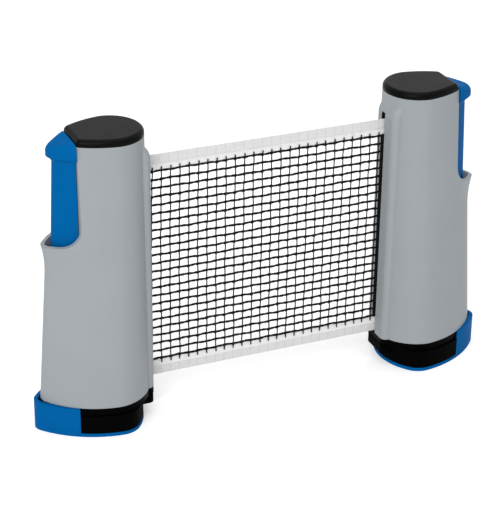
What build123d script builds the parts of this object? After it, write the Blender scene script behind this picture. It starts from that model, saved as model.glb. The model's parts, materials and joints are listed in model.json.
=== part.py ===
from build123d import *

import math
import os

# Roll-up table tennis net: two spring-clamp posts, with a net that winds onto a reel in each post.
#
# Millimetres, +Z up, the posts stand on z = 0 and the net hangs in the plane y = 0.
# Each post is drawn once in its own frame: x = 0 is the face with the net slot, +x points away from
# the net, towards the handle. It is then placed at +x for the right post and mirrored for the left one.

# ---- net ----
NET_GAP = 161.0  # net showing between the two slot faces
NET_HEIGHT = 152.5  # regulation net height, over both tapes
NET_BOTTOM = 21.0  # lower tape's edge above the ground
TAPE_WIDTH = 10.4
TAPE_THICKNESS = 0.8
CORD_RADIUS = 0.6  # horizontal cords
CORD_ROWS = 24
THREAD_RADIUS = 0.35  # vertical threads, laid against the cords
THREAD_COLUMNS = 26
THREAD_OVERRUN = 2.0  # thread ends that run on over the tapes
NET_IN_SLOT = 3.0  # net that lies inside each slot
ROLL_RADIUS = 16.5  # wound net with the posts as drawn

# ---- levels of a post ----
JAW_PLATE = 2.4
JAW_PAD = 12.1
CLOSED_GAP = 0.3  # pad to pad, clamp closed
FOOT_PAD = 2.0
FOOT_COVER = 3.2
CAP_HEIGHT = 4.4
CAP_EDGE = 3.0
CAP_CORNER = 4.0  # plan corners at the cap's flat end

# ---- plans: egg-shaped outlines of tangent arcs, broad towards the net ----
# net end, place and half width of the widest point, shoulder radius, flank radius, nose, nose radius
FOOT_EGG = (0.8, 27.0, 28.6, 19.0, 58.0, 71.0, 9.4)
TOP_EGG = (1.0, 21.5, 21.2, 13.4, 58.0, 58.8, 5.8)
JAW_EGG = (5.5, 25.4, 29.7, 14.0, 70.0, 75.4, 7.5)
WALL = 2.5

# ---- ridge with the net slot ----
RIDGE_WIDTH = 24.0
RIDGE_AT = -2.0  # middle of the ridge across the slot
RIDGE_DEPTH = 12.0
RIDGE_EDGE = 4.0
RIDGE_SHOULDER = 11.0
SLOT_WIDTH = 4.6
SLOT_ABOVE_NET = 4.5
RIDGE_ABOVE_SLOT = 9.0
BODY_ABOVE_RIDGE = 4.0
NUB_DEPTH = 5.5  # how far the ridge's foot runs down in front of the lower pad

# ---- cut-out for the handle, and its lip ----
PARTITION_AT = 46.3  # handle side of the wall between reel and handle
PARTITION = 2.3
CUTOUT_FLOOR = 106.5  # above the housing's foot
CUTOUT_RADIUS = 13.5
LIP_REACH = 3.6  # lip past the drafted nose
LIP_HEIGHT = 21.0
LIP_FALL = 2.5  # rim lower at the tip than at the cut-out's corner

# ---- clamp slider: handle and jaw ----
TRAVEL = 50.0
SLIDE_GAP = 0.5
HANDLE_DEPTH = 11.0  # under the thumb head
HANDLE_DRAFT = 2.4  # deeper by this much at the cut-out's floor and below
HANDLE_WALL = 2.2
HANDLE_INSET = 3.6  # handle's flank inside the housing, level with the cut-out's floor
HANDLE_TIP = 5.0  # nose radius of the shank's plan
HEAD_TIP = 9.0
HEAD_REACH = 3.4  # thumb head past the shank
HEAD_HEIGHT = 9.6
HEAD_FLARE = 4.5  # height of the curve under the thumb head
HEAD_TOP = 1.6  # thumb head's top above the housing's top edge
HEAD_SLOPE = 15.0  # degrees
HEAD_EDGE = 4.5
TONGUE_DEPTH = 8.8
TONGUE_GAP = 0.15
TONGUE_TOP = 60.0  # above the housing's foot
JAW_BACK_AT = 52.5  # flat back of the open jaw
JAW_WALL = 2.4
JAW_RIM_GAP = 0.3
PAD_INSET = 0.1

# ---- clamp spring ----
SPRING_RADIUS = 3.1
SPRING_WIRE = 0.55
SPRING_TURNS = 7
LEDGE_AT = 62.5  # ledge's underside above the housing's foot
LEDGE_THICKNESS = 2.5
LEDGE_HALF = 4.0
LEDGE_REACH = 8.0

# ---- reel ----
REEL_AT = 26.0
CORE_RADIUS = 7.0
CORE_WALL = 1.5
FLANGE_RADIUS = 16.8
FLANGE = 1.3
REEL_GAP = 0.6  # end play at each flange
ARBOR_RADIUS = 2.5
RUNNING_FIT = 0.05
BUSH_LENGTH = 6.0
BUSH_STEP = 8.0  # lower bush above the core's lower end
BOSS_RADIUS = 4.5
BOSS_HEIGHT = 6.0
DRUM_RADIUS = 15.0
DRUM_WALL = 1.4
DRUM_HEIGHT = 7.5
MAINSPRING_BAND = 0.5
MAINSPRING_PITCH = 2.2
MAINSPRING_COILS = 4
MAINSPRING_HEIGHT = 5.5
CAP_BOSS = 5.5

# ---- screws ----
SCREW_RADIUS = 1.4
SCREW_HEAD_RADIUS = 2.7
SCREW_HEAD = 1.6
FOOT_SCREW_LENGTH = 12.0
JAW_SCREW_LENGTH = 14.0
JAW_SCREW_HALF_SPACING = 6.0
SCREW_BOSS_RADIUS = 3.3
SCREW_BOSS_HEIGHT = 16.0
SCREW_BOSSES = ((15.5, 20.0), (38.0, 21.0))
FIT_GAP = 0.2
SCREW_GAP = 0.05

# ---- levels worked out from the above ----
Z_PAD_TOP = JAW_PLATE + JAW_PAD
Z_FOOT_PAD = Z_PAD_TOP + CLOSED_GAP
Z_FOOT_COVER = Z_FOOT_PAD + FOOT_PAD
Z_HOUSING = Z_FOOT_COVER + FOOT_COVER
Z_NET_TOP = NET_BOTTOM + NET_HEIGHT
Z_SLOT_TOP = Z_NET_TOP + SLOT_ABOVE_NET
Z_RIDGE_TOP = Z_SLOT_TOP + RIDGE_ABOVE_SLOT
Z_TOP_EDGE = Z_RIDGE_TOP + BODY_ABOVE_RIDGE
HOUSING_HEIGHT = Z_TOP_EDGE - Z_HOUSING
Z_CUTOUT = Z_HOUSING + CUTOUT_FLOOR
HANDLE_AT = PARTITION_AT + SLIDE_GAP
SHANK_FACE = HANDLE_AT + HANDLE_DEPTH
Z_STEP = Z_HOUSING + TRAVEL + CLOSED_GAP
Z_LEDGE_TOP = Z_HOUSING + LEDGE_AT + LEDGE_THICKNESS
Z_HEAD_TOP = Z_TOP_EDGE + HEAD_TOP
Z_HEAD_FLARE = Z_HEAD_TOP - HEAD_HEIGHT - HEAD_FLARE
Z_CEILING = Z_HEAD_FLARE - HANDLE_WALL
Z_LOWER_FLANGE = NET_BOTTOM - REEL_GAP - FLANGE
Z_UPPER_FLANGE = Z_NET_TOP + REEL_GAP
Z_DRUM = Z_UPPER_FLANGE + FLANGE
FOOT_END = JAW_BACK_AT - CLOSED_GAP
BIG = 200.0  # side of the blocks that only trim


def block(x, y, z):
    """Box from three (low, high) pairs."""
    size = [high - low for low, high in (x, y, z)]
    centre = [(high + low) / 2 for low, high in (x, y, z)]
    return Pos(*centre) * Box(*size)


def beyond(x):
    """Block that holds everything past x, away from the net."""
    return block((x, x + BIG), (-BIG, BIG), (-BIG, 2 * BIG))


def short_of(x):
    """Block that holds everything short of x, towards the net."""
    return block((x - BIG, x), (-BIG, BIG), (-BIG, 2 * BIG))


def disc(radius, low, high, x=REEL_AT, y=0.0):
    """Upright cylinder between two levels."""
    return Pos(x, y, (low + high) / 2) * Cylinder(radius, high - low)


def outline(egg, inset=0.0, reach=0.0):
    """Egg of six tangent arcs, drawn in by inset all round, its nose pushed out by reach."""
    end, wide, half, shoulder, flank, nose, tip = egg
    end += inset
    half -= inset
    shoulder -= inset
    flank -= inset
    nose += reach - inset
    tip -= inset
    side = Vector(wide, half - shoulder)
    spread = wide - end - shoulder
    net = Vector((wide**2 + side.Y**2 - (end + shoulder) ** 2) / (2 * spread), 0)
    front = Vector(nose - tip, 0)
    across = side - front
    along = ((flank - tip) ** 2 - (flank - shoulder) ** 2) / (2 * across.length) + across.length / 2
    off = math.sqrt((flank - tip) ** 2 - along**2)
    unit = across.normalized()
    bow = front + unit * along + Vector(unit.Y, -unit.X) * off
    if bow.Y > side.Y:
        bow = front + unit * along - Vector(unit.Y, -unit.X) * off
    net_joint = net + (side - net).normalized() * (net.X - end)
    side_joint = bow + (side - bow).normalized() * flank
    tip_joint = bow + (front - bow).normalized() * flank
    shoulder_top = side + ((net_joint + side_joint) / 2 - side).normalized() * shoulder
    flank_middle = bow + ((side_joint + tip_joint) / 2 - bow).normalized() * flank
    upper = [
        ThreePointArc(net_joint, shoulder_top, side_joint),
        ThreePointArc(side_joint, flank_middle, tip_joint),
    ]
    lower = [edge.mirror(Plane.XZ) for edge in upper]
    flip = [Vector(point.X, -point.Y) for point in (net_joint, tip_joint)]
    net_arc = ThreePointArc(flip[0], Vector(end, 0), net_joint)
    nose_arc = ThreePointArc(tip_joint, Vector(nose, 0), flip[1])
    return make_face([net_arc, *upper, nose_arc, *lower])


def housing_section(height, inset=0.0, reach=0.0):
    """Plan of the housing at a height above its foot."""
    share = height / HOUSING_HEIGHT
    egg = [low + (high - low) * share for low, high in zip(FOOT_EGG, TOP_EGG)]
    return Pos(0, 0, Z_HOUSING + height) * outline(egg, inset, reach)


def housing_body(inset=0.0):
    """Drafted body, from the foot to the top edge, flared at the nose to form the lip."""
    lip_foot = CUTOUT_FLOOR - LIP_HEIGHT
    lower = loft([housing_section(0, inset), housing_section(lip_foot, inset)], ruled=True)
    flare = [
        housing_section(lip_foot + LIP_HEIGHT * step / 4, inset, LIP_REACH * (step / 4) ** 2)
        for step in range(5)
    ]
    lip = loft(flare)
    rim = housing_section(CUTOUT_FLOOR, inset, LIP_REACH)
    upper = loft([rim, housing_section(HOUSING_HEIGHT, inset)], ruled=True)
    return lower + lip + upper


def ridge():
    """Upright ridge on the net side, with a rounded shoulder at its top."""
    low = Z_HOUSING
    high = Z_RIDGE_TOP
    profile = Polyline(
        (0, low), (0, high), (RIDGE_DEPTH, high), (RIDGE_DEPTH, low), close=True
    )
    side = make_face(Plane.XZ * profile)
    body = extrude(side, RIDGE_WIDTH / 2, both=True)
    top_edge = body.edges().filter_by(Axis.Y).group_by(Axis.Z)[-1].sort_by(Axis.X)[0]
    body = fillet(top_edge, RIDGE_SHOULDER)
    front = [
        edge
        for edge in body.edges()
        if abs(abs(edge.center().Y) - RIDGE_WIDTH / 2) < 0.01
        and edge.center().X < RIDGE_SHOULDER
        and edge.center().Z > low + 1
    ]
    return Pos(0, RIDGE_AT, 0) * fillet(front, RIDGE_EDGE)


def net_slot():
    high = Z_SLOT_TOP
    half = SLOT_WIDTH / 2
    straight = block((-1, RIDGE_DEPTH), (-half, half), (Z_HOUSING - 1, high - half))
    round_end = Pos(RIDGE_DEPTH / 2 - 0.5, 0, high - half) * Rot(0, 90, 0) * Cylinder(
        half, RIDGE_DEPTH + 1
    )
    return straight + round_end


def cutout():
    """Side-on shape that frees the handle: a round inner corner, and a rim that falls to the tip."""
    corner = PARTITION_AT + CUTOUT_RADIUS
    tip = FOOT_EGG[5] + LIP_REACH
    bend = CUTOUT_RADIUS * (1 - math.sqrt(0.5))
    floor = Z_CUTOUT
    outline = [
        Line((PARTITION_AT, Z_TOP_EDGE + 1), (PARTITION_AT, floor + CUTOUT_RADIUS)),
        ThreePointArc(
            (PARTITION_AT, floor + CUTOUT_RADIUS),
            (PARTITION_AT + bend, floor + bend),
            (corner, floor),
        ),
        Line((corner, floor), (tip, floor - LIP_FALL)),
        Line((tip, floor - LIP_FALL), (tip, Z_TOP_EDGE + 1)),
        Line((tip, Z_TOP_EDGE + 1), (PARTITION_AT, Z_TOP_EDGE + 1)),
    ]
    side = make_face(Plane.XZ * Curve(outline))
    return extrude(side, FOOT_EGG[2], both=True)


def screw_places():
    return [(x, y * side) for x, y in SCREW_BOSSES for side in (-1, 1)]


def housing():
    hollow = housing_body(WALL)
    chamber = hollow & short_of(PARTITION_AT - PARTITION)
    chamber += block(
        (WALL, RIDGE_DEPTH + WALL),
        (RIDGE_AT - RIDGE_WIDTH / 2 + WALL, RIDGE_AT + RIDGE_WIDTH / 2 - WALL),
        (Z_HOUSING, Z_SLOT_TOP),
    )
    channel = hollow & beyond(PARTITION_AT)
    solid = housing_body() + ridge()
    shell = solid - chamber - channel - net_slot() - cutout()
    for x, y in screw_places():
        shell += disc(SCREW_BOSS_RADIUS, Z_HOUSING, Z_HOUSING + SCREW_BOSS_HEIGHT, x, y) & solid
    for x, y in screw_places():
        depth = FOOT_SCREW_LENGTH
        shell -= disc(SCREW_RADIUS + SCREW_GAP, Z_HOUSING - 1, Z_HOUSING + depth, x, y)
    shell += block(
        (PARTITION_AT - PARTITION / 2, PARTITION_AT + LEDGE_REACH),
        (-LEDGE_HALF, LEDGE_HALF),
        (Z_LEDGE_TOP - LEDGE_THICKNESS, Z_LEDGE_TOP),
    )
    return shell


def top_cap():
    """Crowned lid with a plug that fits the reel chamber and a boss for the arbor."""
    lid = extrude(Pos(0, 0, Z_TOP_EDGE) * outline(TOP_EGG), CAP_HEIGHT) & short_of(PARTITION_AT)
    corners = lid.edges().filter_by(Axis.Z).group_by(Axis.X)[-1]
    lid = fillet(corners, CAP_CORNER)
    lid = fillet(lid.edges().group_by(Axis.Z)[-1], CAP_EDGE)
    inner = PARTITION_AT - PARTITION - FIT_GAP
    low = Pos(0, 0, Z_TOP_EDGE - CAP_BOSS)
    plug = extrude(low * outline(TOP_EGG, WALL + FIT_GAP), CAP_BOSS) & short_of(inner)
    core = extrude(low * outline(TOP_EGG, 2 * WALL), CAP_BOSS) & short_of(inner - WALL)
    boss = disc(BOSS_RADIUS, Z_TOP_EDGE - CAP_BOSS, Z_TOP_EDGE)
    seat = disc(ARBOR_RADIUS + RUNNING_FIT, Z_TOP_EDGE - CAP_BOSS - 1, Z_TOP_EDGE - 1)
    return lid + (plug - core) + boss - seat


def nub_plan(inset=0.0):
    """Plan of the ridge's foot."""
    middle = Pos((RIDGE_DEPTH + inset) / 2, RIDGE_AT, 0)
    nub = middle * Rectangle(RIDGE_DEPTH - inset, RIDGE_WIDTH - 2 * inset)
    return fillet(nub.vertices().group_by(Axis.X)[0], RIDGE_EDGE - inset)


def foot_plan():
    """Plan of the foot: the housing's foot with its ridge, up to the back of the jaw."""
    trim = Pos(FOOT_END - BIG / 2, 0, 0) * Rectangle(BIG, BIG)
    return (outline(FOOT_EGG) + nub_plan()) & trim


def foot_cover():
    """Bottom lid of the housing, with the arbor's lower seat and a recess for the reel's flange."""
    plate = extrude(Pos(0, 0, Z_FOOT_COVER) * foot_plan(), FOOT_COVER)
    recess = disc(FLANGE_RADIUS + REEL_GAP, Z_LOWER_FLANGE - REEL_GAP, Z_HOUSING + 1)
    boss = disc(BOSS_RADIUS, Z_FOOT_COVER + 1, Z_LOWER_FLANGE + BOSS_HEIGHT)
    seat = disc(ARBOR_RADIUS + RUNNING_FIT, Z_FOOT_COVER + 1, Z_HOUSING + BOSS_HEIGHT + 1)
    cover = plate - recess + boss - seat
    for x, y in screw_places():
        cover -= disc(SCREW_RADIUS + SCREW_GAP, Z_FOOT_COVER - 1, Z_HOUSING + 1, x, y)
        cover -= disc(
            SCREW_HEAD_RADIUS + SCREW_GAP, Z_FOOT_COVER - 1, Z_FOOT_COVER + SCREW_HEAD, x, y
        )
    return cover


def foot_pad():
    pad = extrude(Pos(0, 0, Z_FOOT_PAD) * foot_plan(), FOOT_PAD)
    rim = pad.edges().group_by(Axis.Z)[0]
    return chamfer(rim, FOOT_PAD * 0.3)


def screw(x, y, low, length):
    """Flat-headed screw, driven upwards."""
    head = disc(SCREW_HEAD_RADIUS, low, low + SCREW_HEAD, x, y)
    shank = disc(SCREW_RADIUS, low + SCREW_HEAD, low + length, x, y)
    return head + shank


def foot_screws():
    return Compound([screw(x, y, Z_FOOT_COVER, FOOT_SCREW_LENGTH) for x, y in screw_places()])


def handle_section(level, nose, inset=0.0, tip=HANDLE_TIP):
    """Plan of the handle at a level, with its front face at nose."""
    share = CUTOUT_FLOOR / HOUSING_HEIGHT
    egg = [low + (high - low) * share for low, high in zip(FOOT_EGG, TOP_EGG)]
    egg[6] = tip + HANDLE_INSET
    reach = nose - egg[5] + HANDLE_INSET
    return Pos(0, 0, level) * outline(egg, HANDLE_INSET + inset, reach)


def shank_face(level):
    """Front face of the shank: upright in the housing, drafted inwards above the cut-out's floor."""
    share = max(level - Z_CUTOUT, 0) / (Z_HEAD_FLARE - Z_CUTOUT)
    return SHANK_FACE + HANDLE_DRAFT * (1 - share)


def shank(low, high, inset=0.0):
    """Stretch of the shank's drafted form between two levels."""
    levels = (low, Z_CUTOUT, high)
    sections = [handle_section(level, shank_face(level), inset) for level in levels]
    return loft(sections, ruled=True)


def tongue(low, high, inset=0.0):
    """Tongue of the handle: follows the housing's inside at the tongue's top, flat at the back."""
    share = TONGUE_TOP / HOUSING_HEIGHT
    egg = [bottom + (top - bottom) * share for bottom, top in zip(FOOT_EGG, TOP_EGG)]
    plan = outline(egg, WALL + SLIDE_GAP + inset)
    ends = (JAW_BACK_AT + inset, JAW_BACK_AT + TONGUE_DEPTH - inset)
    return extrude(Pos(0, 0, low) * plan, high - low) & block(ends, (-BIG, BIG), (low, high))


def handle():
    """Thumb head, hollow shank open towards the partition, and the tongue that carries the jaw."""
    head_nose = SHANK_FACE + HEAD_REACH
    head_low = Z_HEAD_FLARE + HEAD_FLARE
    flare = [
        handle_section(
            Z_HEAD_FLARE + HEAD_FLARE * share,
            SHANK_FACE + HEAD_REACH * share**2,
            tip=HANDLE_TIP + (HEAD_TIP - HANDLE_TIP) * share**2,
        )
        for share in (0, 0.25, 0.5, 0.75, 1)
    ]
    head = extrude(handle_section(head_low, head_nose, tip=HEAD_TIP), HEAD_HEIGHT + 1)
    body = (shank(Z_STEP, Z_HEAD_FLARE) + loft(flare) + head) & beyond(HANDLE_AT)
    rise = math.tan(math.radians(HEAD_SLOPE)) * (head_nose - HANDLE_AT)
    slope = make_face(
        Plane.XZ
        * Polyline(
            (HANDLE_AT - 1, Z_HEAD_TOP),
            (HANDLE_AT, Z_HEAD_TOP),
            (head_nose, Z_HEAD_TOP - rise),
            (BIG, Z_HEAD_TOP - rise),
            (BIG, Z_HEAD_TOP + 5),
            (HANDLE_AT - 1, Z_HEAD_TOP + 5),
            close=True,
        )
    )
    body -= extrude(slope, FOOT_EGG[2], both=True)
    rim = [edge for edge in body.edges() if edge.center().Z > head_low + 1]
    rim = [edge for edge in rim if edge.center().X > HANDLE_AT + 1 and abs((edge % 0.5).Z) < 0.5]
    body = fillet(rim, HEAD_EDGE)
    body -= shank(Z_STEP - 1, Z_CEILING, HANDLE_WALL)
    tongue_high = Z_HOUSING + TONGUE_TOP
    body = body + tongue(JAW_PLATE, tongue_high) - tongue(Z_HOUSING, tongue_high + 1, HANDLE_WALL)
    for side in (-1, 1):
        body -= disc(
            SCREW_RADIUS + SCREW_GAP,
            JAW_PLATE - 1,
            JAW_SCREW_LENGTH + 1,
            JAW_BACK_AT + TONGUE_DEPTH / 2,
            side * JAW_SCREW_HALF_SPACING,
        )
    return body


def jaw_plan(inset=0.0):
    return outline(JAW_EGG, inset)


def jaw():
    """Lower jaw: a plate under the pad, and the hollow block behind it that takes the tongue."""
    plate = extrude(jaw_plan(), JAW_PLATE)
    rim = Z_HOUSING - JAW_RIM_GAP
    wall = extrude(jaw_plan(), rim) & beyond(JAW_BACK_AT)
    pocket = extrude(Pos(0, 0, JAW_PLATE) * jaw_plan(JAW_WALL), rim) & beyond(JAW_BACK_AT + JAW_WALL)
    body = plate + (wall - pocket)
    body -= tongue(JAW_PLATE, Z_HOUSING + 1, -TONGUE_GAP)
    for side in (-1, 1):
        x = JAW_BACK_AT + TONGUE_DEPTH / 2
        y = side * JAW_SCREW_HALF_SPACING
        body -= disc(SCREW_RADIUS + SCREW_GAP, -1, JAW_PLATE + 1, x, y)
        body -= disc(SCREW_HEAD_RADIUS + SCREW_GAP, -1, SCREW_HEAD, x, y)
    return body


def jaw_pad():
    body = extrude(Pos(0, 0, JAW_PLATE) * jaw_plan(PAD_INSET), JAW_PAD)
    body += extrude(Pos(0, 0, Z_PAD_TOP - NUB_DEPTH) * nub_plan(FIT_GAP), NUB_DEPTH)
    return body & short_of(JAW_BACK_AT - FIT_GAP)


def jaw_screws():
    x = JAW_BACK_AT + TONGUE_DEPTH / 2
    return Compound(
        [screw(x, side * JAW_SCREW_HALF_SPACING, 0.0, JAW_SCREW_LENGTH - 1) for side in (-1, 1)]
    )


def clamp_spring():
    """Compression spring between the housing's ledge and the handle's ceiling."""
    low = Z_LEDGE_TOP + SPRING_WIRE
    high = Z_CEILING - SPRING_WIRE
    path = Helix(pitch=(high - low) / SPRING_TURNS, height=high - low, radius=SPRING_RADIUS)
    section = Plane(origin=path @ 0, z_dir=path % 0) * RegularPolygon(SPRING_WIRE, 4)
    coil = sweep(section, path=path, is_frenet=True)
    return Pos(PARTITION_AT + SPRING_RADIUS + SPRING_WIRE + 0.7, 0, low) * coil


def reel_arbor():
    return disc(ARBOR_RADIUS, Z_FOOT_COVER + 1, Z_TOP_EDGE - 1)


def reel():
    """Core tube with two flanges and, on top, the drum that holds the mainspring."""
    low = Z_LOWER_FLANGE
    body = disc(CORE_RADIUS, low, Z_DRUM)
    body += disc(FLANGE_RADIUS, low, low + FLANGE)
    body += disc(FLANGE_RADIUS, Z_UPPER_FLANGE, Z_DRUM)
    drum = disc(DRUM_RADIUS, Z_DRUM, Z_DRUM + DRUM_HEIGHT)
    drum -= disc(DRUM_RADIUS - DRUM_WALL, Z_DRUM, Z_DRUM + DRUM_HEIGHT)
    body += drum
    return body - disc(CORE_RADIUS - CORE_WALL, low - 1, Z_DRUM + 1)


def reel_bushes():
    """Two plain bushes, seated in the core, that turn on the arbor."""
    outer = CORE_RADIUS - CORE_WALL
    inner = ARBOR_RADIUS + RUNNING_FIT
    lower = Z_LOWER_FLANGE + BUSH_STEP
    upper = Z_DRUM - BUSH_LENGTH
    bushes = [
        disc(outer, low, low + BUSH_LENGTH) - disc(inner, low - 1, low + BUSH_LENGTH + 1)
        for low in (lower, upper)
    ]
    return Compound(bushes)


def mainspring():
    """Flat spiral spring in the drum, from the arbor outwards, as half circles that grow."""
    low = Z_DRUM + (DRUM_HEIGHT - MAINSPRING_HEIGHT) / 2
    edges = []
    radius = ARBOR_RADIUS + 1.5
    start = (REEL_AT + radius, 0)
    side = 1
    for _ in range(2 * MAINSPRING_COILS):
        reach = 2 * radius + MAINSPRING_PITCH / 2
        end = (start[0] - side * reach, 0)
        middle = ((start[0] + end[0]) / 2, side * reach / 2)
        edges.append(ThreePointArc(start, middle, end))
        start = end
        radius += MAINSPRING_PITCH / 2
        side = -side
    spiral = Wire(edges)
    band = trace(spiral, MAINSPRING_BAND)
    return extrude(Pos(0, 0, low) * band, MAINSPRING_HEIGHT)


def net_roll():
    body = disc(ROLL_RADIUS, NET_BOTTOM, Z_NET_TOP)
    return body - disc(CORE_RADIUS, NET_BOTTOM - 1, Z_NET_TOP + 1)


def net_tail():
    """Net between the slot and the roll, which it meets at a tangent."""
    start = NET_IN_SLOT
    clear = ROLL_RADIUS + TAPE_THICKNESS / 2 + CLOSED_GAP
    reach = REEL_AT - start
    length = math.sqrt(reach**2 - clear**2)
    angle = math.degrees(math.asin(clear / reach))
    sheet = block((TAPE_THICKNESS, length), (0, TAPE_THICKNESS), (NET_BOTTOM, Z_NET_TOP))
    sheet = Pos(0, -TAPE_THICKNESS / 2, 0) * sheet
    return Pos(start, 0, 0) * Rot(0, 0, angle) * sheet


def net_span():
    """Half the net's length, from the middle to its end inside a slot."""
    return NET_GAP / 2 + NET_IN_SLOT


def tape(low):
    half = TAPE_THICKNESS / 2
    return block((-net_span(), net_span()), (-half, half), (low, low + TAPE_WIDTH))


def net_cords():
    low = NET_BOTTOM + TAPE_WIDTH + CORD_RADIUS
    high = Z_NET_TOP - TAPE_WIDTH - CORD_RADIUS
    step = (high - low) / (CORD_ROWS - 1)
    rod = extrude(Plane.YZ * RegularPolygon(CORD_RADIUS, 6), net_span(), both=True)
    return Compound([Pos(0, 0, low + step * row) * rod for row in range(CORD_ROWS)])


def net_threads():
    low = NET_BOTTOM + TAPE_WIDTH - THREAD_OVERRUN
    high = Z_NET_TOP - TAPE_WIDTH + THREAD_OVERRUN
    step = NET_GAP / THREAD_COLUMNS
    y = -CORD_RADIUS - THREAD_RADIUS
    first = -NET_GAP / 2 + step / 2
    rod = extrude(RegularPolygon(THREAD_RADIUS, 6), high - low)
    return Compound([Pos(first + step * column, y, low) * rod for column in range(THREAD_COLUMNS)])


POST_PARTS = {
    "housing": housing,
    "top_cap": top_cap,
    "foot_cover": foot_cover,
    "foot_pad": foot_pad,
    "foot_screws": foot_screws,
    "handle": handle,
    "jaw": jaw,
    "jaw_pad": jaw_pad,
    "jaw_screws": jaw_screws,
    "clamp_spring": clamp_spring,
    "reel": reel,
    "reel_bushes": reel_bushes,
    "reel_arbor": reel_arbor,
    "mainspring": mainspring,
    "net_roll": net_roll,
    "net_tail": net_tail,
}

NET_PARTS = {
    "net_cords": net_cords(),
    "net_threads": net_threads(),
    "top_tape": tape(Z_NET_TOP - TAPE_WIDTH),
    "bottom_tape": tape(NET_BOTTOM),
}

os.makedirs("parts", exist_ok=True)
for name, make in POST_PARTS.items():
    right = Pos(NET_GAP / 2, 0, 0) * make()
    export_step(right, f"parts/right_{name}.step")
    export_step(right.mirror(Plane.YZ), f"parts/left_{name}.step")
for name, shape in NET_PARTS.items():
    export_step(shape, f"parts/{name}.step")
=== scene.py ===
"""Roll-up table tennis net with two spring-clamp posts.

Materials for the CAD bodies, a woven net, floor, lights and camera. Lengths are in metres.
X runs along the net, and the camera looks from -Y.
"""

import json
import math

import bmesh
import bpy
from mathutils import Matrix, Vector


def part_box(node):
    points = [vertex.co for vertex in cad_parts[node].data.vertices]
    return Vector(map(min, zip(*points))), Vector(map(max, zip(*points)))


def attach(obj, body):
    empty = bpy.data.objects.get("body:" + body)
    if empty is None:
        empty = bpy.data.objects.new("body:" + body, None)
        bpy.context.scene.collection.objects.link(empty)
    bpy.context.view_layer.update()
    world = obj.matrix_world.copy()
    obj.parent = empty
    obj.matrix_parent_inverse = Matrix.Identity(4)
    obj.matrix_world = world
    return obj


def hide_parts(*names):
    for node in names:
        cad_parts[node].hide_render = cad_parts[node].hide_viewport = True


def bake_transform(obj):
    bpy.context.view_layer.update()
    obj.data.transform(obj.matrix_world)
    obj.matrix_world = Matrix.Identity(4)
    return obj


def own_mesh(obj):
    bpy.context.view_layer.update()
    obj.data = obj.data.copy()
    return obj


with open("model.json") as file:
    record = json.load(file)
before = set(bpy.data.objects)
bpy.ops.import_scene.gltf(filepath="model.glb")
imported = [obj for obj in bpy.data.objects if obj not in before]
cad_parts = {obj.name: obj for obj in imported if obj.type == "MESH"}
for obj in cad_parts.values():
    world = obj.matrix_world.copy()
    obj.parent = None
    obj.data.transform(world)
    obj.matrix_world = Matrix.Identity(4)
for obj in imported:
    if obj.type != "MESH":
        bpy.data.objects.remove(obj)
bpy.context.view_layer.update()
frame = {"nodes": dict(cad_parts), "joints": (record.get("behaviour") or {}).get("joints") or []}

MM = 0.001

# ---- read from the frame: places along the net, (low, high) of each tape, joints' limits ----
LEFT_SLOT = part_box("left_housing")[1][0]
RIGHT_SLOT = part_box("right_housing")[0][0]
SLOT_GAP = RIGHT_SLOT - LEFT_SLOT
NET_LOW, NET_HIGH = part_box("top_tape")[0][0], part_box("top_tape")[1][0]
TOP_TAPE = (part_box("top_tape")[0][2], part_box("top_tape")[1][2])
BOTTOM_TAPE = (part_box("bottom_tape")[0][2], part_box("bottom_tape")[1][2])
LONGEST = {joint["name"]: joint["range_m"][1] for joint in frame["joints"] if "range_m" in joint}

# ---- waves that make yarn uneven ----
RIPPLES = (  # (radians per metre, step from row to row, share of the wave's size)
    (410, 2.4, 0.5),
    (173, 5.1, 0.35),
    (930, 1.3, 0.25),
)
BULGES_ALONG, BULGES_UP = 1300, 700  # radians per metre, where a tube gets thicker and thinner

# ---- net: cords run along it, threads stand in front of them ----
CORDS = 24
CORD_RADIUS = 0.78 * MM
CORD_UNEVEN = 0.14  # share by which a cord gets thicker and thinner
CORD_WAVE = 0.32 * MM  # up and down
CORD_SWAY = 0.15 * MM  # out of the net's plane
CORD_STEPS = 110
THREADS = 26
THREAD_PITCH = SLOT_GAP / THREADS
THREAD_RADIUS = 0.44 * MM
THREAD_GAP = 0.1 * MM  # from the front of the cords to a thread's middle
THREAD_OVERRUN = 2.0 * MM  # onto the tapes
THREAD_WAVE = 0.35 * MM
THREAD_LEAN = 1.6 * MM  # of the first thread, at its top
THREAD_STEPS = 24
THREADS_TOGETHER = 3  # threads in one piece
SPARE_PLIES = 12  # thin threads in the visible ones
SPARE_SHARE = 0.9  # of a visible thread's radius
KNOT_RADIUS = 1.02 * MM
KNOT_SHAPE = (1.15, 0.85, 0.95)  # shares of the radius along X, Y and Z
KNOT_UNEVEN = 0.16  # share by which knots are larger and smaller
KNOT_ALONG, KNOT_STEP = 5100, 2.9  # radians per metre and from row to row, for that
KNOT_FORWARD = 0.3 * MM

# ---- fold of net at the mouth of the right slot ----
FOLD_THREADS = 3
FOLD_PITCH = 0.45 * MM
FOLD_DEPTH = 0.5 * MM  # first thread of the fold, behind the slot's mouth
FOLD_RADIUS = 0.36 * MM
FOLD_OVERLAP = 0.3 * MM  # onto the tapes
FOLD_STAGGER = 0.35 * MM  # to the front and the back, in turn
FOLD_WAVE = 0.1 * MM
FOLD_STEPS = 40

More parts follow.
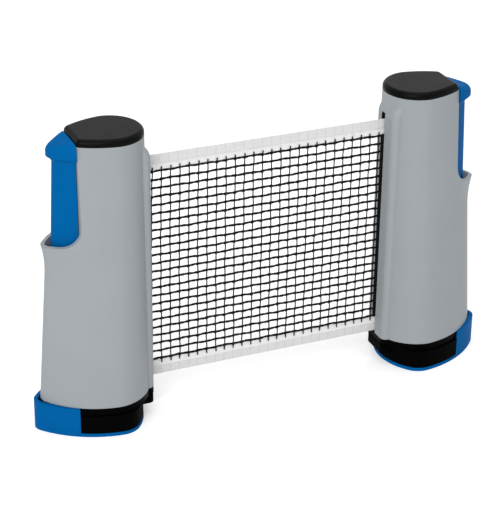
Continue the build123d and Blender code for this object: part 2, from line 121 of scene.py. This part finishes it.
# ---- tapes ----
BAND_SHARE = 0.59  # of a tape's width, in the thick outer band's cloth
TAPE_SWAY = 0.12 * MM  # out of the net's plane
TAPE_SLOWER = 0.4  # a tape sways in longer waves than yarn
TAPE_WAVE = 0.07 * MM  # of the inner edge, up and down
TAPE_STEPS = 72
TAPE_SECTION = (  # from the outer edge: (share of the width, half thickness in mm)
    (0.0, 0.2),
    (0.015, 0.4),
    (0.06, 0.36),
    (0.3, 0.34),
    (0.54, 0.36),
    (0.585, 0.4),
    (0.6, 0.21),
    (0.78, 0.18),
    (0.95, 0.2),
    (0.985, 0.25),
    (1.0, 0.1),
)

# ---- housings and springs ----
SLOT_HALF = 2.3 * MM  # half the width of the housings' net slot
SLOT_DEPTH = 15.0 * MM  # how far in the slot's walls are painted with shade
SLOT_ABOVE_NET = 4.5 * MM  # from the top tape to the slot's round end
SLOT_MARGIN = 0.02 * MM  # so that the walls themselves are inside

# ---- floor and light ----
FLOOR_HALF = 6.0
FLOOR_LIFT = 0.36  # light added to the floor where it is looked at, for a white ground
WORLD_LEVEL = 0.48  # of the surroundings' light on the object
LIGHT_AIM = Vector((0, 0, 0.1))
KEY_AT, KEY_SIDE, KEY_POWER = (-1.1, -1.4, 1.2), 1.2, 21
TOP_AT, TOP_SIDE, TOP_POWER = (0.2, 0.1, 2.0), 1.6, 11.5

# ---- camera ----
AZIMUTH, ELEVATION, ROLL = -23.5, 26.5, 0.75  # degrees: from -Y, above level, about the view
TARGET = Vector((-10.3 * MM, 0, 92.5 * MM))
DISTANCE = 1.127
LENS, SENSOR = 124.25, 36.0  # mm
CLIP_END = 20


# ---------------------------------------------------------------- materials


def nodes_of(name):
    """A new material, with its node tree and its shader."""
    material = bpy.data.materials.new(name)
    material.use_nodes = True
    tree = material.node_tree
    shader = tree.nodes["Principled BSDF"]
    return material, tree, shader


def add(tree, kind, **values):
    """A new node. Each value goes to the input of that name, or to the node itself."""
    node = tree.nodes.new(kind)
    for key, value in values.items():
        if key in node.inputs.keys():
            node.inputs[key].default_value = value
        else:
            setattr(node, key, value)
    return node


def place(tree):
    """The place on the object, which every pattern is drawn by."""
    return add(tree, "ShaderNodeTexCoord").outputs["Object"]


def noise(tree, scale, detail=4.0, roughness=0.55):
    """Uneven patches, about 1 / scale metres across."""
    node = add(tree, "ShaderNodeTexNoise", Scale=scale, Detail=detail, Roughness=roughness)
    tree.links.new(place(tree), node.inputs["Vector"])
    return node.outputs["Fac"]


def wave(tree, direction, pitch, distortion=0.0):
    """Parallel bands with a real pitch in metres: Blender's are tau / (20 * Scale) apart."""
    node = add(
        tree,
        "ShaderNodeTexWave",
        bands_direction=direction,
        Scale=math.tau / (20 * pitch),
        Distortion=distortion,
        Detail=2.0,
    )
    tree.links.new(place(tree), node.inputs["Vector"])
    return node.outputs["Fac"]


def ramp(tree, source, low, high, values=(0.0, 1.0)):
    """Turns the range from low to high into the range of values, and holds it at both ends."""
    node = add(tree, "ShaderNodeMapRange")
    node.inputs["From Min"].default_value = low
    node.inputs["From Max"].default_value = high
    node.inputs["To Min"].default_value, node.inputs["To Max"].default_value = values
    tree.links.new(source, node.inputs["Value"])
    return node.outputs["Result"]


def maths(tree, operation, first, second):
    """One operation on two values, each a number or a link."""
    node = add(tree, "ShaderNodeMath", operation=operation)
    for socket, value in zip(node.inputs, (first, second)):
        if isinstance(value, (int, float)):
            socket.default_value = value
        else:
            tree.links.new(value, socket)
    return node.outputs[0]


def mix(tree, factor, first, second):
    """Colour between two colours, or links, by a factor."""
    node = add(tree, "ShaderNodeMix", data_type="RGBA")
    tree.links.new(factor, node.inputs["Factor"])
    for name, value in (("A", first), ("B", second)):
        socket = [s for s in node.inputs if s.name == name and s.type == "RGBA"][0]
        if isinstance(value, tuple):
            socket.default_value = (*value, 1)
        else:
            tree.links.new(value, socket)
    return [s for s in node.outputs if s.type == "RGBA"][0]


def bump(tree, shader, height, distance, strength=1.0):
    """Gives a material a relief, as deep as the distance."""
    node = add(tree, "ShaderNodeBump", Strength=strength, Distance=distance)
    tree.links.new(height, node.inputs["Height"])
    tree.links.new(node.outputs["Normal"], shader.inputs["Normal"])


def shade(colour, amount):
    """A colour made darker or lighter."""
    return tuple(channel * amount for channel in colour)


def plastic(name, colour, rough, grain=0.35, spread=0.04, gloss=0.5):
    """Moulded plastic: fine spark-eroded grain, slow tone drift, and patches worn smoother."""
    material, tree, shader = nodes_of(name)
    slow = ramp(tree, noise(tree, 28, detail=3), 0.35, 0.65)
    fine = ramp(tree, noise(tree, 1800, detail=2), 0.3, 0.7)
    tone = mix(tree, slow, shade(colour, 1 - spread), shade(colour, 1 + spread))
    tree.links.new(tone, shader.inputs["Base Color"])
    worn = (rough - 0.04, rough + 0.05)
    patch = ramp(tree, noise(tree, 60, detail=5, roughness=0.6), 0.3, 0.7, worn)
    tree.links.new(patch, shader.inputs["Roughness"])
    shader.inputs["Specular IOR Level"].default_value = gloss
    bump(tree, shader, fine, 0.04 * MM, strength=grain)
    return material


def shell(name, colour, slot_shade_colour):
    """The housings' plastic, with painted shade on the slot's walls, near black where the slot is
    a deep unlit hollow.
    """
    material = plastic(name, colour, 0.5, grain=0.25, spread=0.015, gloss=0.3)
    tree = material.node_tree
    shader = tree.nodes["Principled BSDF"]
    plain = shader.inputs["Base Color"].links[0].from_socket
    axes = add(tree, "ShaderNodeSeparateXYZ")
    tree.links.new(place(tree), axes.inputs[0])
    along = maths(tree, "ABSOLUTE", axes.outputs["X"], 0)
    across = maths(tree, "ABSOLUTE", axes.outputs["Y"], 0)
    inside = maths(tree, "LESS_THAN", across, SLOT_HALF + SLOT_MARGIN)
    near = maths(tree, "LESS_THAN", along, RIGHT_SLOT + SLOT_DEPTH)
    slot_top = TOP_TAPE[1] + SLOT_ABOVE_NET + SLOT_MARGIN
    below = maths(tree, "LESS_THAN", axes.outputs["Z"], slot_top)
    # painted shade: the slot's walls, within its width, near the post and below its round end,
    # turn near black
    slot_shade_mask = maths(tree, "MULTIPLY", maths(tree, "MULTIPLY", inside, near), below)
    tree.links.new(mix(tree, slot_shade_mask, plain, slot_shade_colour), shader.inputs["Base Color"])
    return material


def rubber(name, colour):
    """Matt rubber, pebbled, with patches of dust."""
    material, tree, shader = nodes_of(name)
    cells = add(tree, "ShaderNodeTexVoronoi", Scale=900.0)
    tree.links.new(place(tree), cells.inputs["Vector"])
    dust = ramp(tree, noise(tree, 90, detail=6, roughness=0.65), 0.5, 0.75, (0.0, 0.5))
    tone = mix(tree, dust, colour, shade(colour, 2.4))
    tree.links.new(tone, shader.inputs["Base Color"])
    tree.links.new(ramp(tree, dust, 0, 1, (0.62, 0.85)), shader.inputs["Roughness"])
    shader.inputs["Specular IOR Level"].default_value = 0.015
    bump(tree, shader, cells.outputs["Distance"], 0.12 * MM, strength=0.6)
    return material


def steel(name, colour, rough):
    """Drawn or turned steel, with fine lines along it and a little tarnish."""
    material, tree, shader = nodes_of(name)
    lines = ramp(tree, wave(tree, "Z", 0.25 * MM, distortion=3.0), 0.2, 0.8)
    stain = ramp(tree, noise(tree, 150, detail=5), 0.45, 0.7)
    tree.links.new(mix(tree, stain, colour, shade(colour, 0.72)), shader.inputs["Base Color"])
    drawn = ramp(tree, lines, 0, 1, (rough - 0.06, rough + 0.08))
    tree.links.new(drawn, shader.inputs["Roughness"])
    shader.inputs["Metallic"].default_value = 1.0
    bump(tree, shader, lines, 0.01 * MM, strength=0.4)
    return material


def cloth(name, colour, dark, pitch, speckle=0.0, ribs=0.0):
    """Woven cloth: warp and weft crossing at a real pitch, with uneven yarn.

    Speckle adds dark spots, and ribs adds faint lines where threads lie under it.
    """
    material, tree, shader = nodes_of(name)
    warp = wave(tree, "X", pitch, distortion=1.2)
    weft = wave(tree, "Z", pitch * 0.8, distortion=1.2)
    weave = maths(tree, "MULTIPLY", warp, weft)
    uneven = ramp(tree, noise(tree, 260, detail=5, roughness=0.65), 0.3, 0.7)
    # painted shade: the weave's hollows are made darker, by an amount that varies with the uneven
    # yarn
    hollow = ramp(tree, weave, 0.0, 0.7, (1.0, 0.0))
    weave_shade = maths(tree, "MULTIPLY", hollow, ramp(tree, uneven, 0, 1, (0.35, 0.8)))
    tone = mix(tree, weave_shade, colour, dark)
    if speckle:
        grime = noise(tree, 900, detail=3, roughness=0.7)
        spots = ramp(tree, grime, 0.55, 0.72, (0.0, speckle))
        tone = mix(tree, spots, tone, shade(dark, 0.45))
    if ribs:
        threads = wave(tree, "X", THREAD_PITCH, distortion=0.4)
        lines = ramp(tree, threads, 0.9, 1.0, (0.0, ribs))
        tone = mix(tree, lines, tone, shade(dark, 0.8))
    tree.links.new(tone, shader.inputs["Base Color"])
    shader.inputs["Roughness"].default_value = 0.85
    shader.inputs["Sheen Weight"].default_value = 0.6
    shader.inputs["Sheen Roughness"].default_value = 0.5
    bump(tree, shader, weave, pitch * 0.35, strength=0.7)
    return material


def yarn(name, colour, pitch):
    """Twisted nylon yarn: slanted plies and a slight shine."""
    material, tree, shader = nodes_of(name)
    twist = wave(tree, "DIAGONAL", pitch, distortion=1.0)
    fluff = ramp(tree, noise(tree, 1500, detail=4), 0.35, 0.7)
    tree.links.new(mix(tree, fluff, colour, shade(colour, 2.4)), shader.inputs["Base Color"])
    shader.inputs["Roughness"].default_value = 0.6
    shader.inputs["Specular IOR Level"].default_value = 0.1
    shader.inputs["Sheen Weight"].default_value = 0.05
    bump(tree, shader, twist, pitch * 0.25, strength=0.8)
    return material


def painted(node, material):
    """Gives a CAD node its material."""
    mesh = frame["nodes"][node].data
    if not mesh.materials:
        mesh.materials.append(material)
    for index in range(len(mesh.materials)):
        mesh.materials[index] = material


# the housings' grey, with near-black painted shade on the net slot's walls
GREY = shell("grey_shell", (0.335, 0.362, 0.382), slot_shade_colour=(0.006, 0.006, 0.006))
BLUE = plastic("blue_plastic", (0.0, 0.118, 0.362), 0.5, grain=0.2, spread=0.03, gloss=0.015)
CHARCOAL = plastic("charcoal_cap", (0.0018, 0.0021, 0.0021), 0.32, grain=0.3, gloss=0.055)
BLACK = plastic("black_foot", (0.0005, 0.0005, 0.0006), 0.35, grain=0.25, gloss=0.015)
RUBBER = rubber("black_rubber", (0.0006, 0.0006, 0.0007))
STEEL = steel("zinc_steel", (0.62, 0.62, 0.63), 0.3)
SPRING = steel("spring_steel", (0.38, 0.39, 0.41), 0.35)
REEL = plastic("reel_plastic", (0.03, 0.03, 0.033), 0.5, grain=0.3)
BUSH = plastic("bush_plastic", (0.72, 0.71, 0.67), 0.35, grain=0.15)
WOUND = cloth("wound_net", (0.012, 0.012, 0.013), (0.004, 0.004, 0.004), pitch=1.2 * MM)
CORD = yarn("net_yarn", (0.0015, 0.0015, 0.0018), pitch=0.9 * MM)
BAND = cloth("tape_band", (0.86, 0.86, 0.86), (0.72, 0.72, 0.72), pitch=0.7 * MM, ribs=0.3)
SELVAGE = cloth(
    "tape_selvage", (0.99, 0.99, 0.99), (0.95, 0.95, 0.96), pitch=0.8 * MM, speckle=0.22
)

FINISHES = {  # of the nodes that each post has
    "housing": GREY,
    "top_cap": CHARCOAL,
    "foot_cover": BLACK,
    "foot_pad": RUBBER,
    "foot_screws": STEEL,
    "handle": BLUE,
    "jaw": BLUE,
    "jaw_pad": RUBBER,
    "jaw_screws": STEEL,
    "clamp_spring": SPRING,
    "reel": REEL,
    "reel_bushes": BUSH,
    "reel_arbor": STEEL,
    "mainspring": SPRING,
    "net_roll": WOUND,
    "net_tail": WOUND,
}


def finish_bodies():
    """Materials for the nodes of both posts and of the net."""
    for side in ("left", "right"):
        for part, material in FINISHES.items():
            painted(f"{side}_{part}", material)
    for node in ("net_cords", "net_threads", "top_tape", "bottom_tape"):
        painted(node, CORD if node.startswith("net") else BAND)


# ---------------------------------------------------------------- net


def new_piece(name, mesh, material):
    """A smooth object with one material."""
    piece = bpy.data.objects.new(name, mesh)
    bpy.context.collection.objects.link(piece)
    mesh.materials.append(material)
    for face in mesh.polygons:
        face.use_smooth = True
    return piece


def ripple(x, row, size):
    """Small uneven wave along a yarn, its own for each row."""
    return size * sum(share * math.sin(x * rate + row * step) for rate, step, share in RIPPLES)


def tube(work, centres, radius, sides=6, narrow=1.0, uneven=0.0):
    """Adds a tube along a list of centre points. A narrow one is flatter along the net."""
    rings = []
    for index, centre in enumerate(centres):
        before = centres[max(index - 1, 0)]
        after = centres[min(index + 1, len(centres) - 1)]
        along = (after - before).normalized()
        across = along.cross(Vector((0, 1, 0))).normalized()
        out = across.cross(along)
        bulge = math.sin(centre.x * BULGES_ALONG + centre.z * BULGES_UP)
        girth = radius * (1 + uneven * bulge)
        ring = []
        for side in range(sides):
            angle = math.tau * side / sides
            offset = across * (narrow * math.cos(angle)) + out * math.sin(angle)
            ring.append(work.verts.new(centre + offset * girth))
        rings.append(ring)
    for low, high in zip(rings, rings[1:]):
        for side in range(sides):
            after = (side + 1) % sides
            work.faces.new((low[side], low[after], high[after], high[side]))
    work.faces.new(list(reversed(rings[0])))
    work.faces.new(rings[-1])


def meshed(work, name):
    """The finished mesh of a bmesh, with its faces turned outwards."""
    bmesh.ops.recalc_face_normals(work, faces=work.faces)
    mesh = bpy.data.meshes.new(name)
    work.to_mesh(mesh)
    work.free()
    return mesh


def bend_over_pull(piece):
    """Bakes a piece's placement into its mesh."""
    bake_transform(piece)


def cord_level(row):
    """Height of a cord, counted from the bottom tape."""
    low = BOTTOM_TAPE[1] + CORD_RADIUS
    high = TOP_TAPE[0] - CORD_RADIUS
    return low + (high - low) * row / (CORDS - 1)


def cord_place(x, row):
    """Where a cord's centre runs at x."""
    level = cord_level(row) + ripple(x, row, CORD_WAVE)
    return Vector((x, ripple(x, row + 40, CORD_SWAY), level))


def net_steps(steps):
    """Even places along the net, from inside one slot to inside the other."""
    return [NET_LOW + (NET_HIGH - NET_LOW) * step / steps for step in range(steps + 1)]


def make_cords():
    """The cords along the net, in one piece."""
    work = bmesh.new()
    for row in range(CORDS):
        centres = [cord_place(x, row) for x in net_steps(CORD_STEPS)]
        tube(work, centres, CORD_RADIUS, uneven=CORD_UNEVEN)
    piece = new_piece("net_cords_yarn", meshed(work, "net_cords_yarn"), CORD)
    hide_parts("net_cords")
    bend_over_pull(piece)


def thread_place(column):
    """Place of a thread along the net, counted from the left."""
    return LEFT_SLOT + THREAD_PITCH * (column + 0.5)


def thread_line(column, stretch=1.0):
    """A vertical thread: it leans near the left post, and waves a little everywhere."""
    low = BOTTOM_TAPE[1] - THREAD_OVERRUN
    high = TOP_TAPE[0] + THREAD_OVERRUN
    share = column / (THREADS - 1)
    points = []
    for step in range(THREAD_STEPS + 1):
        level = step / THREAD_STEPS
        z = low + (high - low) * level
        lean = THREAD_LEAN * (1 - share) ** 3 * level**3
        x = thread_place(column) + lean + ripple(z, column + 7, THREAD_WAVE / stretch)
        points.append(Vector((x, -CORD_RADIUS - THREAD_GAP, z)))
    return points


def line_at(points, z):
    """Where a rising line of points passes a height."""
    for low, high in zip(points, points[1:]):
        if low.z <= z <= high.z:
            return low.lerp(high, (z - low.z) / (high.z - low.z))
    return points[-1]


def add_knots(work, points):
    """The small knots where a thread crosses the cords, no two alike."""
    for row in range(CORDS):
        x = line_at(points, cord_level(row)).x
        centre = cord_place(x, row) - Vector((0, KNOT_FORWARD, 0))
        size = 1 + KNOT_UNEVEN * math.sin(x * KNOT_ALONG + row * KNOT_STEP)
        wide, deep, tall = KNOT_SHAPE
        form = Matrix.Translation(centre) @ Matrix.Diagonal((wide * size, deep, tall * size, 1))
        bmesh.ops.create_icosphere(work, subdivisions=2, radius=KNOT_RADIUS, matrix=form)


def move_by_share(piece):
    """Bakes a whole piece's placement into its mesh."""
    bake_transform(piece)


def make_threads():
    """The threads that show at rest, with their knots, in groups that are one piece each."""
    for first in range(0, THREADS, THREADS_TOGETHER):
        columns = range(first, min(first + THREADS_TOGETHER, THREADS))
        work = bmesh.new()
        for column in columns:
            points = thread_line(column)
            tube(work, points, THREAD_RADIUS)
            add_knots(work, points)
        name = f"net_threads_yarn_{first // THREADS_TOGETHER}"
        piece = new_piece(name, meshed(work, name), CORD)
        if first == 0:
            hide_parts("net_threads")
        move_by_share(piece)


def stretch_at(x):
    """How many times its length a bit of net gets, with the net pulled right out."""
    share = min(max((x - LEFT_SLOT) / SLOT_GAP, 0), 1)
    return 1 + 6 * share * (1 - share) * LONGEST["net_pull"] / SLOT_GAP  # the smooth turn's slope


def make_spare_threads():
    """Threads of the net still wound up: hair-thin as drawn, flatter along the net, and more of
    them where the net would stretch more when pulled out.
    """
    for ply in range(SPARE_PLIES):
        work = bmesh.new()
        for column in range(THREADS):
            stretch = stretch_at(thread_place(column))
            every = max(1, round(SPARE_PLIES / stretch))
            if ply % every == 0:
                line = thread_line(column, stretch)
                tube(work, line, SPARE_SHARE * THREAD_RADIUS, sides=5, narrow=1 / stretch)
        name = f"net_threads_spare_{ply}"
        piece = new_piece(name, meshed(work, name), CORD)
        bend_over_pull(piece)


def make_fold():
    """Net that gathers into a black fold at the mouth of the right slot."""
    work = bmesh.new()
    low, high = BOTTOM_TAPE[1] - FOLD_OVERLAP, TOP_TAPE[0] + FOLD_OVERLAP
    for ply in range(FOLD_THREADS):
        x = RIGHT_SLOT + FOLD_DEPTH - FOLD_PITCH * ply
        y = -FOLD_STAGGER if ply % 2 else FOLD_STAGGER
        centres = []
        for step in range(FOLD_STEPS + 1):
            z = low + (high - low) * step / FOLD_STEPS
            sway = ripple(z, ply + 60, FOLD_WAVE)
            centres.append(Vector((x + ripple(z, ply * 3, FOLD_WAVE), y + sway, z)))
        tube(work, centres, FOLD_RADIUS, sides=5)
    piece = new_piece("right_slot_fold", meshed(work, "right_slot_fold"), CORD)
    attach(piece, "right_post")


def press_springs():
    """Gives each clamp spring a mesh of its own."""
    for side in ("left", "right"):
        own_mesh(frame["nodes"][f"{side}_clamp_spring"])


def make_tape(name, low, high, outward):
    """A tape: a thick folded band on its outer side, and a thin selvage that carries the net."""
    work = bmesh.new()
    outer, inner = (high, low) if outward > 0 else (low, high)
    profile = list(TAPE_SECTION) + [(share, -half) for share, half in reversed(TAPE_SECTION)]
    rings = []
    for x in net_steps(TAPE_STEPS):
        sway = ripple(x * TAPE_SLOWER, outward, TAPE_SWAY)
        edge = ripple(x, outward + 3, TAPE_WAVE)
        ring = []
        for share, half in profile:
            z = outer + (inner - outer) * share + edge * share
            ring.append(work.verts.new((x, sway + half * MM, z)))
        rings.append(ring)
    count = len(profile)
    for before, after in zip(rings, rings[1:]):
        for index in range(count):
            follow = (index + 1) % count
            face = work.faces.new((before[index], before[follow], after[follow], after[index]))
            across = (profile[index][0] + profile[follow][0]) / 2
            face.material_index = 1 if across > BAND_SHARE else 0
    work.faces.new(list(reversed(rings[0])))
    work.faces.new(rings[-1])
    piece = new_piece(f"{name}_woven", meshed(work, f"{name}_woven"), BAND)
    piece.data.materials.append(SELVAGE)
    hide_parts(name)
    bend_over_pull(piece)


# ---------------------------------------------------------------- stage


def make_floor():
    """A plain pale floor."""
    mesh = bpy.data.meshes.new("floor")
    turns = ((-1, -1), (1, -1), (1, 1), (-1, 1))
    corners = [(x * FLOOR_HALF, y * FLOOR_HALF, 0) for x, y in turns]
    mesh.from_pydata(corners, [], [(0, 1, 2, 3)])
    floor = bpy.data.objects.new("floor", mesh)
    bpy.context.collection.objects.link(floor)
    material, tree, shader = nodes_of("floor_paper")
    tone = ramp(tree, noise(tree, 3, detail=2), 0.3, 0.7)
    paper = mix(tree, tone, (0.93, 0.93, 0.93), (0.95, 0.95, 0.95))
    tree.links.new(paper, shader.inputs["Base Color"])
    shader.inputs["Roughness"].default_value = 0.9
    shader.inputs["Specular IOR Level"].default_value = 0.1
    shader.inputs["Emission Color"].default_value = (1, 1, 1, 1)
    tree.links.new(seen(tree, (0.0, FLOOR_LIFT)), shader.inputs["Emission Strength"])
    mesh.materials.append(material)


def seen(tree, values):
    """First value for light on the object, second for looks from the camera, also by a gloss."""
    path = add(tree, "ShaderNodeLightPath").outputs
    looks = maths(tree, "MAXIMUM", path["Is Camera Ray"], path["Is Glossy Ray"])
    looks = maths(tree, "MAXIMUM", looks, path["Is Transmission Ray"])
    return ramp(tree, looks, 0, 1, values)


def area_light(name, place_at, side, power):
    """A square light that shines on the object's middle."""
    data = bpy.data.lights.new(name, "AREA")
    data.shape = "SQUARE"
    data.size = side
    data.energy = power
    light = bpy.data.objects.new(name, data)
    bpy.context.collection.objects.link(light)
    light.location = place_at
    towards = LIGHT_AIM - Vector(place_at)
    light.rotation_euler = towards.to_track_quat("-Z", "Y").to_euler()


def make_lights():
    """Even studio light, a little stronger from the left, with a white backdrop."""
    world = bpy.data.worlds.new("studio")
    world.use_nodes = True
    tree = world.node_tree
    background = tree.nodes["Background"]
    background.inputs["Color"].default_value = (1, 1, 1, 1)
    tree.links.new(seen(tree, (WORLD_LEVEL, 1.0)), background.inputs["Strength"])
    bpy.context.scene.world = world
    area_light("key", KEY_AT, KEY_SIDE, KEY_POWER)
    area_light("top", TOP_AT, TOP_SIDE, TOP_POWER)


def make_camera():
    """A long lens that looks down at the object from the left."""
    azimuth, elevation, roll = (math.radians(angle) for angle in (AZIMUTH, ELEVATION, ROLL))
    back = Vector(
        (
            math.sin(azimuth) * math.cos(elevation),
            -math.cos(azimuth) * math.cos(elevation),
            math.sin(elevation),
        )
    )
    right = Vector((math.cos(azimuth), math.sin(azimuth), 0))
    up = back.cross(right)
    turned_right = right * math.cos(roll) + up * math.sin(roll)
    turned_up = up * math.cos(roll) - right * math.sin(roll)
    data = bpy.data.cameras.new("camera")
    data.lens, data.sensor_width = LENS, SENSOR
    data.clip_end = CLIP_END
    camera = bpy.data.objects.new("camera", data)
    bpy.context.collection.objects.link(camera)
    turn = Matrix((turned_right, turned_up, back)).transposed().to_4x4()
    camera.matrix_world = Matrix.Translation(TARGET + back * DISTANCE) @ turn
    bpy.context.scene.camera = camera


bpy.context.scene.view_settings.view_transform = "Standard"
make_camera()
finish_bodies()
make_cords()
make_threads()
make_spare_threads()
make_fold()
press_springs()
make_tape("top_tape", *TOP_TAPE, 1)
make_tape("bottom_tape", *BOTTOM_TAPE, -1)
make_floor()
make_lights()
